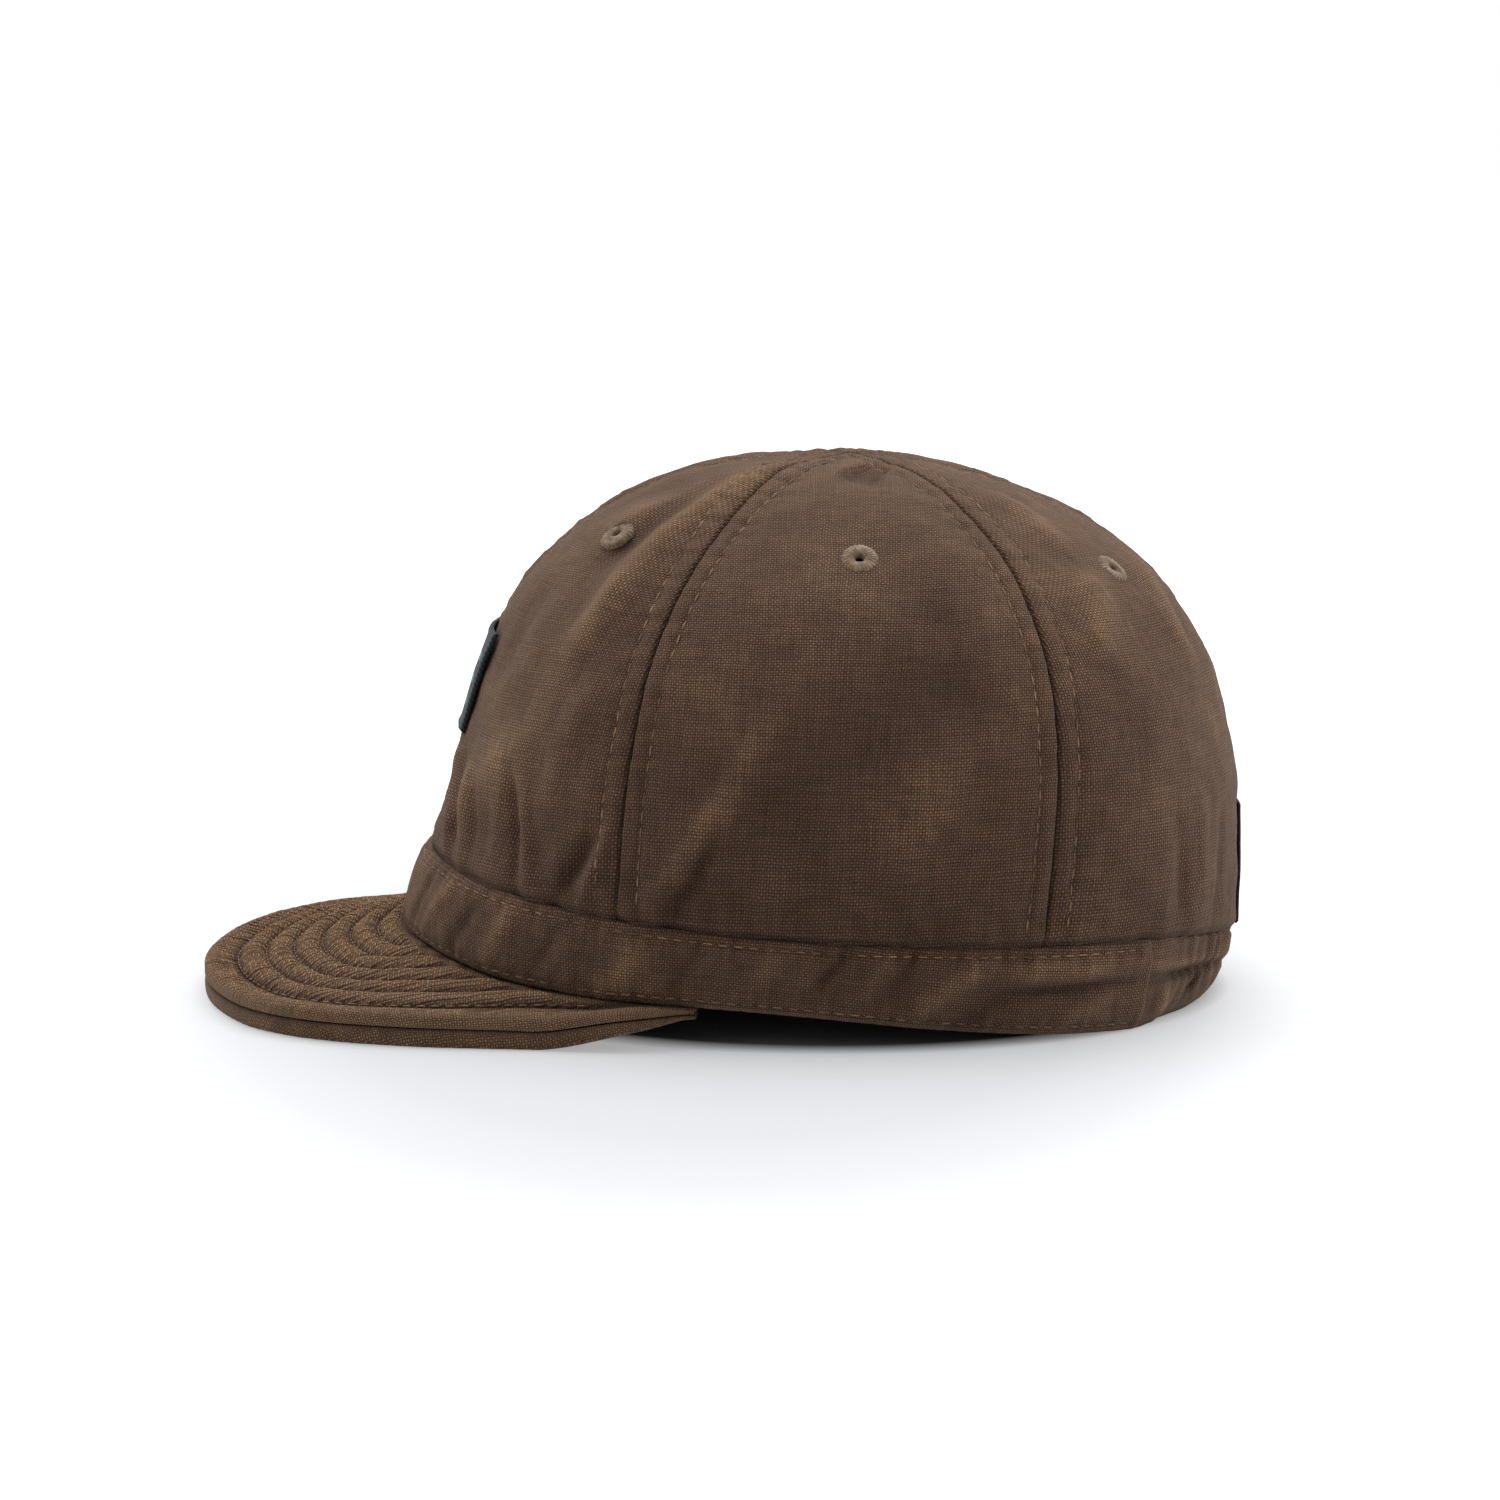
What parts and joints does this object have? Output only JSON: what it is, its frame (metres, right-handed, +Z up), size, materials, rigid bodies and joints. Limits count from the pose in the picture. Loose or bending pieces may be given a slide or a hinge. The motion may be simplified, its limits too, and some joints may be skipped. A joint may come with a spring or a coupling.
{
  "type": "short-brim baseball cap",
  "caption": "Soft panelled canvas cap with a folded band, a gathered elastic back and a short quilted brim, hollow and open underneath, resting on its rim.",
  "frame": {"origin": "on the surface the cap rests on, under the middle of its overall box", "axes": "+Z up, brim towards -Y, wearer's left towards +X"},
  "size_m": [0.168, 0.2544, 0.1297],
  "materials": {
    "canvas": "washed brown cotton canvas",
    "thread": "brown cotton thread",
    "patch": "embroidered twill, near black",
    "label": "woven tape, near black"
  },
  "bodies": {
    "root": {"crown_front_left": "canvas", "crown_front_right": "canvas", "crown_side_left": "canvas", "crown_side_right": "canvas", "crown_back_left": "canvas", "crown_back_right": "canvas", "band": "canvas", "band_back": "canvas", "brim_upper": "canvas", "brim_under": "canvas", "eyelet_front_left": "thread", "eyelet_front_right": "thread", "eyelet_side_left": "thread", "eyelet_side_right": "thread", "eyelet_back_left": "thread", "eyelet_back_right": "thread", "front_patch": "patch", "back_label": "label"}
  },
  "joints": []
}
